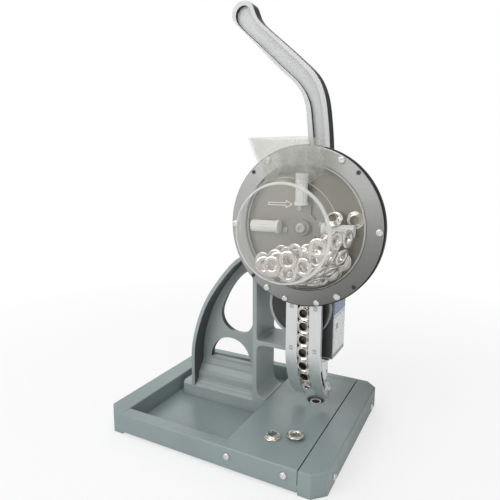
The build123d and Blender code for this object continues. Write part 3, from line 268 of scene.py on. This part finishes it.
def plastic(name, col, rough=0.45, bump=0.12, gloss=0.0, var=0.08, edge=0.3):
    g = G(name)
    c = g.mix(g.ramp(g.noise(25.0, 3.0), 0.3, 0.7), scale_col(col, 1 - var), scale_col(col, 1 + var))
    # edges painted lighter: a painted highlight
    c = g.mix(g.math("MULTIPLY", g.edge_mask(0.0007), edge), c, tuple(min(1, x * 1.4 + 0.02) for x in col))
    # painted shade: occluded corners are painted darker
    c = g.mix(g.ramp(g.ao(0.006), 0.2, 0.9, 0.35, 0.0), c, scale_col(col, 0.4))
    r = g.ramp(g.noise(160.0, 3.0), 0.3, 0.7, rough - 0.06, rough + 0.08)
    nb = g.bump(g.noise(1400.0, 2.0), bump, 0.0002, g.bevel(0.0005))
    b = g.principled(**{"Base Color": c, "Roughness": r, "Normal": nb, "Coat Weight": gloss})
    return g.done(b.outputs[0])


def clear(name, tint, haze=0.10, haze_col=(0.9, 0.9, 0.88), edge_gain=0.85, rough=0.04, scratches=0.25, gloss=0.5, painted_highlight_rings=False):
    """Clear acrylic sheet: lets light through, reflects and whitens at grazing angles and along edges."""
    g = G(name)
    lw = g.n("ShaderNodeLayerWeight")
    lw.inputs["Blend"].default_value = 0.25
    fr = lw.outputs["Fresnel"]
    facing = lw.outputs["Facing"]
    sc = g.noise(1.0, 6.0, 0.75, g.mapping((60, 60, 900)))
    sm = g.noise(34.0, 4.0, 0.6)
    trans = g.n("ShaderNodeBsdfTransparent")
    trans.inputs["Color"].default_value = (*tint, 1)
    gl = g.n("ShaderNodeBsdfGlossy")
    gl.inputs["Color"].default_value = (0.95, 0.95, 0.95, 1)
    g.link(g.ramp(sc, 0.5, 0.8, rough, rough + 0.15), gl.inputs["Roughness"])
    nrm = g.bump(sc, 0.02 * scratches * 4, 0.0002)
    g.link(nrm, gl.inputs["Normal"])
    dif = g.n("ShaderNodeBsdfTranslucent")
    dif.inputs["Color"].default_value = (*haze_col, 1)
    dd = g.n("ShaderNodeBsdfDiffuse")
    dd.inputs["Color"].default_value = (*haze_col, 1)
    h = g.n("ShaderNodeMixShader")
    h.inputs[0].default_value = 0.6
    g.link(dif.outputs[0], h.inputs[1])
    g.link(dd.outputs[0], h.inputs[2])
    edge = g.edge_mask(0.0012, 0.03, 0.3)
    hz = g.math("ADD", g.ramp(sm, 0.35, 0.8, haze * 0.6, haze * 1.5), g.math("MULTIPLY", edge, edge_gain * 0.55), clamp=True)
    hz = g.math("ADD", hz, g.math("MULTIPLY", g.math("POWER", facing, 4.0), 0.35), clamp=True)
    if painted_highlight_rings:
        # painted highlights standing in for light scattered in the acrylic: bright rings at the thick rounded corner,
        # the foot and the middle of the cover, a lighter front face and streaks low on the cover
        p = g.pos_xyz()
        dx = g.math("SUBTRACT", p[0], P(250.9, 0, 0).x)
        dz = g.math("SUBTRACT", p[2], 0.2907)
        rad = g.math("SQRT", g.math("ADD", g.math("MULTIPLY", dx, dx), g.math("MULTIPLY", dz, dz)))
        yy = g.math("SUBTRACT", p[1], P(0, 0, 0).y)
        a = g.math("SUBTRACT", rad, 0.0572)
        c = g.math("SUBTRACT", yy, 0.0325)
        d = g.math("SQRT", g.math("ADD", g.math("MULTIPLY", a, a), g.math("MULTIPLY", c, c)))
        fold = g.ramp(d, 0.0012, 0.0034, 0.85, 0.0)
        foot = g.ramp(yy, 0.0946, 0.0956, 0.0, 0.85)
        mid = g.math("MULTIPLY", g.ramp(g.math("ABSOLUTE", g.math("SUBTRACT", yy, 0.0475)), 0.0004, 0.0013, 0.45, 0.0), 1.0)
        flat = g.ramp(g.normal_xyz()[1], -0.98, -0.9, 0.15, 0.0)
        streak = g.math("MULTIPLY", g.ramp(g.noise(1.0, 4.0, 0.6, g.mapping((26, 9, 26))), 0.56, 0.72, 0.0, 0.40),
                        g.ramp(p[2], 0.225, 0.262, 1.0, 0.0))
        hz = g.math("ADD", hz, g.math("ADD", flat, streak), clamp=True)
        hz = g.math("ADD", hz, g.math("ADD", fold, g.math("ADD", foot, mid)), clamp=True)
    m1 = g.n("ShaderNodeMixShader")
    g.link(hz, m1.inputs[0])
    g.link(trans.outputs[0], m1.inputs[1])
    g.link(h.outputs[0], m1.inputs[2])
    m2 = g.n("ShaderNodeMixShader")
    g.link(g.math("MULTIPLY", fr, gloss, clamp=True), m2.inputs[0])
    g.link(m1.outputs[0], m2.inputs[1])
    g.link(gl.outputs[0], m2.inputs[2])
    # the far skin of the sheet adds nothing of its own
    geo = g.n("ShaderNodeNewGeometry")
    plain = g.n("ShaderNodeBsdfTransparent")
    m3 = g.n("ShaderNodeMixShader")
    g.link(geo.outputs["Backfacing"], m3.inputs[0])
    g.link(m2.outputs[0], m3.inputs[1])
    g.link(plain.outputs[0], m3.inputs[2])
    return g.done(m3.outputs[0])


def painted_shade_right_of(x_max_mm, n_min=0.25):
    """Painted shade on faces turned to +X, left of a given x, as on the hollow side of the frame's outer flange."""
    def f(g):
        n = g.normal_xyz()
        p = g.pos_xyz()
        a = g.ramp(n[0], n_min, n_min + 0.15)
        b = g.ramp(p[0], x_max_mm / 1000 - OX, x_max_mm / 1000 - OX + 0.002, 1.0, 0.0)
        return g.math("MULTIPLY", g.math("MULTIPLY", a, b), 0.86)
    return f


def base_painted_shade(g):
    """Painted shade: the table's enamel is painted darker behind the press, toward the right rear corner."""
    p = g.pos_xyz()
    a = g.ramp(g.math("ADD", p[0], g.math("MULTIPLY", p[1], 0.8)), P(250, 0, 0).x + 0.8 * P(0, 120, 0).y, P(320, 0, 0).x + 0.8 * P(0, 240, 0).y)
    b = g.ramp(p[0], P(240, 0, 0).x, P(275, 0, 0).x)
    return g.math("MULTIPLY", g.math("MULTIPLY", a, b), 0.72)


def ring_painted_shade(g):
    """Painted shade: the drum's ring is painted darker toward the bottom."""
    p = g.pos_xyz()
    dx = g.math("SUBTRACT", p[0], P(250.9, 0, 0).x)
    dz = g.math("SUBTRACT", p[2], 0.2907)
    t = g.math("SUBTRACT", g.math("MULTIPLY", dx, 0.5), g.math("MULTIPLY", dz, 0.86))
    return g.ramp(t, 0.005, 0.096, 0.0, 0.80)


def casting_painted_shade(g):
    """Painted shade on the hollow side of the outer flange and on the front of the head."""
    n = g.normal_xyz()
    p = g.pos_xyz()
    front = g.ramp(n[1], -0.9, -0.6, 1.0, 0.0)
    right = g.ramp(p[0], P(261.0, 0, 0).x, P(261.4, 0, 0).x)
    high = g.ramp(p[2], 0.1125, 0.1135)
    head = g.math("MULTIPLY", g.math("MULTIPLY", front, right), g.math("MULTIPLY", high, 0.9))
    return g.math("MAXIMUM", painted_shade_right_of(158.0)(g), head)


# painted shade: the lever's side faces and pocket walls, except those turned toward -X, are painted near black
def lever_side_painted_shade(g):
    n = g.normal_xyz()
    ny = g.math("ABSOLUTE", n[1])
    a = g.ramp(ny, 0.35, 0.6, 1.0, 0.0)
    right = g.ramp(n[0], -0.55, 0.0)
    return g.math("MULTIPLY", g.math("MULTIPLY", a, right), 0.985)


BASE_COL = (0.255, 0.318, 0.312)
STAND_COL = (0.350, 0.395, 0.393)
M = {}
M["paint_base"] = paint("base_enamel", BASE_COL, rough=0.42, peel=0.10, falloff=base_painted_shade)
M["paint_stand"] = paint("stand_enamel", STAND_COL, rough=0.44, peel=0.16, side_painted_shade=casting_painted_shade, round_mm=1.4)
M["lever_paint"] = paint("lever_enamel", (0.67, 0.675, 0.675), rough=0.50, peel=0.02, side_painted_shade=lever_side_painted_shade, round_mm=0.9, wear=0.06, crease_shade=0.10, coat=0.0)
M["steel_brushed"] = metal("ring_brushed_steel", (0.52, 0.52, 0.505), rough=0.36, brush=(28, 400, 1500), brush_strength=0.16, round_mm=0.5, stain=0.18,
                           shade=ring_painted_shade)
M["steel_bright"] = metal("bright_stainless", (0.93, 0.94, 0.94), rough=0.42, brush=(1200, 60, 26), brush_strength=0.08, round_mm=0.6, stain=0.08)
M["steel_tool"] = metal("ground_tool_steel", (0.60, 0.60, 0.59), rough=0.33, brush=(900, 900, 40), brush_strength=0.12, stain=0.25, tint=(0.30, 0.27, 0.23))
M["screw_chrome"] = metal("screw_plated", (0.88, 0.88, 0.86), rough=0.36, wear=0.3, stain=0.15)
M["screw_black"] = metal("screw_blackened", (0.10, 0.10, 0.10), rough=0.34, wear=0.9)
M["eyelet_nickel"] = metal("eyelet_nickel", (0.90, 0.86, 0.81), rough=0.16, brush_strength=0.03, wear=0.2, stain=0.22, tint=(0.55, 0.42, 0.33), round_mm=0.1)
M["black_plastic"] = plastic("back_plate_black", (0.018, 0.018, 0.019), rough=0.40)
M["black_rubber"] = plastic("gasket_black", (0.010, 0.010, 0.010), rough=0.55)
M["white_plastic"] = plastic("paddle_white", (0.80, 0.80, 0.77), rough=0.42, bump=0.08, var=0.03, edge=0.2)
M["motor_can"] = paint("motor_enamel", (0.030, 0.033, 0.031), rough=0.40, peel=0.10, wear=0.5)
M["aluminium_plate"] = metal("rotor_aluminium", (0.345, 0.330, 0.285), rough=0.42, brush=(40, 400, 1100), brush_strength=0.12)
M["clear_acrylic"] = clear("cover_clear_acrylic", (0.955, 0.96, 0.95), haze=0.05, gloss=0.42, painted_highlight_rings=True)
M["funnel_clear"] = clear("funnel_acrylic", (0.90, 0.90, 0.88), haze=0.34, haze_col=(0.74, 0.74, 0.70), edge_gain=0.45, gloss=0.28, scratches=0.08)


def label_material():
    g = G("label_film")
    p = g.pos_xyz()
    z = p[2]
    y = p[1]
    blue = g.ramp(z, 0.171, 0.173)
    line = g.math("MULTIPLY", g.ramp(z, 0.1675, 0.1680), g.ramp(z, 0.1695, 0.1700, 1.0, 0.0))
    low = g.math("MULTIPLY", g.ramp(z, 0.150, 0.1505), g.ramp(z, 0.158, 0.1585, 1.0, 0.0))
    side = g.math("MULTIPLY", g.ramp(y, 0.140 - OY, 0.1405 - OY), g.ramp(y, 0.150 - OY, 0.1505 - OY, 1.0, 0.0))
    c = g.mix(blue, (0.84, 0.85, 0.86), (0.13, 0.20, 0.40))
    c = g.mix(line, c, (0.35, 0.38, 0.44))
    c = g.mix(g.math("MULTIPLY", low, side), c, (0.42, 0.22, 0.19))
    c = g.mix(g.ramp(g.noise(70.0, 4.0), 0.35, 0.7, 0.0, 0.12), c, (0.35, 0.35, 0.36))
    b = g.principled(**{"Base Color": c, "Roughness": g.ramp(g.noise(200.0), 0.3, 0.7, 0.22, 0.34), "Coat Weight": 0.4,
                        "Normal": g.bump(g.noise(120.0, 3.0), 0.06, 0.0004)})
    return g.done(b.outputs[0])


M["label_film"] = label_material()

SLOT = {s["node"]: s["material_slot"] for s in frame["record"]["subparts"]}


def give(obj, mat):
    obj.data.materials.clear()
    obj.data.materials.append(mat)


def shade(obj, angle=32.0):
    """Smooth shading with sharp edges kept by angle."""
    me = obj.data
    bm = bmesh.new()
    bm.from_mesh(me)
    for f in bm.faces:
        f.smooth = True
    lim = math.radians(angle)
    for e in bm.edges:
        e.smooth = not (len(e.link_faces) == 2 and e.calc_face_angle(0) > lim)
    bm.to_mesh(me)
    bm.free()


# every CAD node gets its slot's finish
for name, node in NODES.items():
    mat = M.get(SLOT[name])
    if name == "hopper_funnel":
        mat = M["funnel_clear"]
    give(node, mat)


# ------------------------------------------------------------------ mesh builders
def make(name, bm, mat, body, smooth=None, replaces=()):
    me = bpy.data.meshes.new(name)
    bm.normal_update()
    bm.to_mesh(me)
    bm.free()
    ob = bpy.data.objects.new(name, me)
    bpy.context.scene.collection.objects.link(ob)
    me.materials.append(mat)
    if smooth is not None:
        shade(ob, smooth)
    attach(ob, body)
    if replaces:
        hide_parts(*replaces)
    return ob


def revolve_into(bm, profile, segs, mtx):
    """profile: closed list of (r, z) in metres, revolved about local z, placed by mtx."""
    rings = []
    for r, z in profile:
        ring = []
        for i in range(segs):
            a = 2 * math.pi * i / segs
            ring.append(bm.verts.new(mtx @ Vector((r * math.cos(a), r * math.sin(a), z))))
        rings.append(ring)
    n = len(rings)
    for j in range(n):
        a, b = rings[j], rings[(j + 1) % n]
        for i in range(segs):
            k = (i + 1) % segs
            bm.faces.new((a[i], a[k], b[k], b[i]))


# ------------------------------------------------------------------ eyelets
def eyelet_profile():
    """Rolled flange and open barrel, flange face at z=0, closed loop of (r, z) in mm."""
    pts = []
    # inner wall top to flange face
    pts += [(5.72, 5.05), (5.70, 4.2), (5.70, 3.0), (5.72, 1.9), (5.90, 1.0), (6.35, 0.42), (7.0, 0.10), (7.8, 0.0), (8.7, 0.05)]
    # rolled rim
    for k in range(1, 9):
        a = math.radians(-90 + 24 * k)
        pts.append((9.75 + 1.03 * math.cos(a), 0.98 + 0.93 * math.sin(a)))
    # underside back to barrel
    pts += [(9.2, 1.62), (8.4, 1.25), (7.6, 1.18), (6.95, 1.35), (6.60, 1.85), (6.50, 2.6), (6.50, 3.6), (6.48, 4.7), (6.40, 5.1), (6.1, 5.2), (5.85, 5.17)]
    return [(r / 1000, z / 1000) for r, z in pts]


EP = eyelet_profile()


def islands(mesh):
    """Vertex positions of each connected piece of a mesh."""
    bm = bmesh.new()
    bm.from_mesh(mesh)
    bmesh.ops.remove_doubles(bm, verts=bm.verts, dist=1e-6)
    bm.verts.ensure_lookup_table()
    seen, out = set(), []
    for v in bm.verts:
        if v.index in seen:
            continue
        stack, part = [v], []
        seen.add(v.index)
        while stack:
            w = stack.pop()
            part.append(tuple(w.co))
            for e in w.link_edges:
                o = e.other_vert(w)
                if o.index not in seen:
                    seen.add(o.index)
                    stack.append(o)
        out.append(np.array(part))
    bm.free()
    return out


def eyelet_frames(node):
    """Matrix for each eyelet solid in a CAD node: flange face centre, +Z towards the barrel's end."""
    res = []
    for pts in islands(NODES[node].data):
        c = pts.mean(0)
        d = pts - c
        # the axis is the direction in which the ring of flange points is flat
        best = None
        w, v = np.linalg.eigh(d.T @ d)
        for k in range(3):
            ax = v[:, k]
            h = d @ ax
            r = np.linalg.norm(d - np.outer(h, ax), axis=1)
            size = h.max() - h.min()
            score = abs(size - 0.0052) + abs(r.max() - 0.0108)
            if best is None or score < best[0]:
                best = (score, ax, h, r)
        _, ax, h, r = best
        big = h[r > 0.0095].mean()
        small = h[r < 0.0068].mean()
        if small < big:
            ax, h = -ax, -h
        o = c + ax * h.min()
        z = Vector(ax)
        x = z.orthogonal().normalized()
        y = z.cross(x)
        m = Matrix((x, y, z)).transposed().to_4x4()
        m.translation = Vector(o)
        res.append(m)
    return res


rng = random.Random(11)
for node, body in (("eyelets_in_drum", "stand"), ("eyelets_in_track", "stand"), ("eyelets_on_table", "stand"), ("eyelets_on_rotor", "rotor")):
    if node not in NODES:
        continue
    bm = bmesh.new()
    for m in eyelet_frames(node):
        revolve_into(bm, EP, 40, m)
    make(node + "_rolled", bm, M["eyelet_nickel"], body, smooth=60, replaces=(node,))

# ------------------------------------------------------------------ direction arrow on the cover (generic)
cov_lo, cov_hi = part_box("drum_cover")
yf = cov_lo.y - 0.00012


def arrow(x0, x1, zc, h, t):
    """Outlined arrow made of thin strips, pointing right."""
    bm = bmesh.new()

    def strip(a, b, w):
        a, b = Vector((a[0], yf, a[1])), Vector((b[0], yf, b[1]))
        d = (b - a).normalized()
        n = Vector((-d.z, 0, d.x)) * w / 2
        q = [a - n, b - n, b + n, a + n]
        back = [Vector((p.x, yf + 0.0001, p.z)) for p in q]
        vs = [bm.verts.new(p) for p in q + back]
        for f in ((0, 1, 2, 3), (7, 6, 5, 4), (0, 4, 5, 1), (1, 5, 6, 2), (2, 6, 7, 3), (3, 7, 4, 0)):
            bm.faces.new([vs[i] for i in f])
    s = h * 0.17
    xh = x1 - h * 0.9
    strip((x0, zc + s), (xh, zc + s), t)
    strip((x0, zc - s), (xh, zc - s), t)
    strip((x0, zc - s), (x0, zc + s), t)
    strip((xh, zc + s), (xh, zc + h / 2), t)
    strip((xh, zc - s), (xh, zc - h / 2), t)
    strip((xh, zc + h / 2), (x1, zc), t)
    strip((xh, zc - h / 2), (x1, zc), t)
    return bm


g = G("arrow_print")
b = g.principled(**{"Base Color": g.mix(g.ramp(g.noise(300.0), 0.4, 0.6), (0.74, 0.71, 0.69), (0.84, 0.81, 0.79)), "Roughness": 0.5,
                    "Normal": g.bump(g.noise(900.0), 0.05, 0.0002)})
arrow_mat = g.done(b.outputs[0])
make("cover_direction_arrow", arrow(P(236.5, 0, 0).x, P(265.0, 0, 0).x, P(0, 0, 325.0).z, 0.0078, 0.0007), arrow_mat, "stand")

# ------------------------------------------------------------------ stage
def floor_and_light():
    me = bpy.data.meshes.new("floor")
    s = 6.0
    me.from_pydata([(-s, -s, 0), (s, -s, 0), (s, s, 0), (-s, s, 0)], [], [(0, 1, 2, 3)])
    fl = bpy.data.objects.new("floor", me)
    bpy.context.scene.collection.objects.link(fl)
    fl.location.z = -0.0005
    g = G("floor_pale")
    d = g.n("ShaderNodeBsdfDiffuse")
    g.link(g.mix(g.ramp(g.noise(3.0), 0.3, 0.7), (0.90, 0.90, 0.90), (0.93, 0.93, 0.93)), d.inputs["Color"])
    e = g.n("ShaderNodeEmission")
    e.inputs["Strength"].default_value = 1.0
    p = g.pos_xyz()
    dist = g.math("SQRT", g.math("ADD", g.math("MULTIPLY", p[0], p[0]), g.math("MULTIPLY", p[1], p[1])))
    lp = g.n("ShaderNodeLightPath")
    # camera sees white paper fading into the backdrop; mirror-like parts see a darker bench
    g.link(g.mix(lp.outputs["Is Camera Ray"], (0.62, 0.63, 0.63), (1.0, 1.0, 1.0)), e.inputs["Color"])
    camf = g.math("MULTIPLY", lp.outputs["Is Camera Ray"], g.ramp(dist, 0.30, 0.95, 0.62, 1.0))
    glof = g.math("MULTIPLY", lp.outputs["Is Glossy Ray"], 0.75)
    m = g.n("ShaderNodeMixShader")
    g.link(g.math("MAXIMUM", camf, glof), m.inputs[0])
    g.link(d.outputs[0], m.inputs[1])
    g.link(e.outputs[0], m.inputs[2])
    give(fl, g.done(m.outputs[0]))

    w = bpy.data.worlds.new("studio")
    bpy.context.scene.world = w
    w.use_nodes = True
    nt = w.node_tree
    nt.nodes.clear()
    out = nt.nodes.new("ShaderNodeOutputWorld")
    tc = nt.nodes.new("ShaderNodeTexCoord")
    sep = nt.nodes.new("ShaderNodeSeparateXYZ")
    nt.links.new(tc.outputs["Generated"], sep.inputs[0])
    rampz = nt.nodes.new("ShaderNodeValToRGB")
    mr = nt.nodes.new("ShaderNodeMapRange")
    mr.inputs["From Min"].default_value = -1
    mr.inputs["From Max"].default_value = 1
    nt.links.new(sep.outputs[2], mr.inputs["Value"])
    nt.links.new(mr.outputs[0], rampz.inputs[0])
    cr = rampz.color_ramp
    cr.elements[0].position, cr.elements[0].color = 0.0, (0.30, 0.30, 0.30, 1)
    cr.elements[1].position, cr.elements[1].color = 1.0, (0.92, 0.92, 0.94, 1)
    for pos, v in ((0.36, 0.16), (0.44, 0.38), (0.50, 0.62), (0.60, 0.72), (0.78, 0.82)):
        el = cr.elements.new(pos)
        el.color = (v, v, v * 1.01, 1)
    # the studio is brighter on the left than on the right
    mx = nt.nodes.new("ShaderNodeMapRange")
    mx.inputs["From Min"].default_value = -0.50
    mx.inputs["From Max"].default_value = 0.25
    mx.inputs["To Min"].default_value = 1.08
    mx.inputs["To Max"].default_value = 0.48
    nt.links.new(sep.outputs[0], mx.inputs["Value"])
    mul = nt.nodes.new("ShaderNodeMix")
    mul.data_type = "RGBA"
    mul.blend_type = "MULTIPLY"
    mul.inputs[0].default_value = 1.0
    nt.links.new(rampz.outputs[0], mul.inputs[6])
    nt.links.new(mx.outputs[0], mul.inputs[7])
    bg = nt.nodes.new("ShaderNodeBackground")
    bg.inputs["Strength"].default_value = 0.80
    nt.links.new(mul.outputs[2], bg.inputs["Color"])
    bgc = nt.nodes.new("ShaderNodeBackground")
    bgc.inputs["Color"].default_value = (1, 1, 1, 1)
    bgc.inputs["Strength"].default_value = 1.0
    lp2 = nt.nodes.new("ShaderNodeLightPath")
    mixw = nt.nodes.new("ShaderNodeMixShader")
    nt.links.new(lp2.outputs["Is Camera Ray"], mixw.inputs[0])
    nt.links.new(bg.outputs[0], mixw.inputs[1])
    nt.links.new(bgc.outputs[0], mixw.inputs[2])
    nt.links.new(mixw.outputs[0], out.inputs["Surface"])

    def area(name, loc, target, size, power, col=(1, 1, 1)):
        li = bpy.data.lights.new(name, "AREA")
        li.shape = "RECTANGLE"
        li.size, li.size_y = size
        li.energy = power
        li.color = col
        ob = bpy.data.objects.new(name, li)
        bpy.context.scene.collection.objects.link(ob)
        ob.location = loc
        d = Vector(target) - Vector(loc)
        ob.rotation_euler = d.to_track_quat("-Z", "Y").to_euler()
        return ob
    c = (0.0, 0.0, 0.25)
    area("key_front_left", (-0.9, -1.9, 1.25), c, (1.5, 1.3), 17)
    area("fill_front_right", (1.7, -1.3, 0.7), c, (1.2, 1.2), 8.0)
    area("top_soft", (0.1, -0.2, 2.1), c, (1.6, 1.6), 12)
    area("rim_back", (-0.8, 1.6, 1.4), c, (1.2, 0.8), 5)


floor_and_light()

# ------------------------------------------------------------------ camera
cam = bpy.data.cameras.new("view")
cam.sensor_width = 36.0
cam.lens = 457.62179 / 500 * 36.0
cam.clip_start, cam.clip_end = 0.01, 50
co = bpy.data.objects.new("view", cam)
bpy.context.scene.collection.objects.link(co)
r = Vector((0.88398214, 0.46751662, 0.00194345))
u = Vector((-0.08371314, 0.15419264, 0.98448806))
w = Vector((-0.45996487, 0.87043256, -0.17544083))
mw = Matrix((r, u, -w)).transposed().to_4x4()
mw.translation = P(457.74504663, -431.75574142, 363.25803913)
co.matrix_world = mw
bpy.context.scene.camera = co
bpy.context.scene.view_settings.view_transform = "Standard"
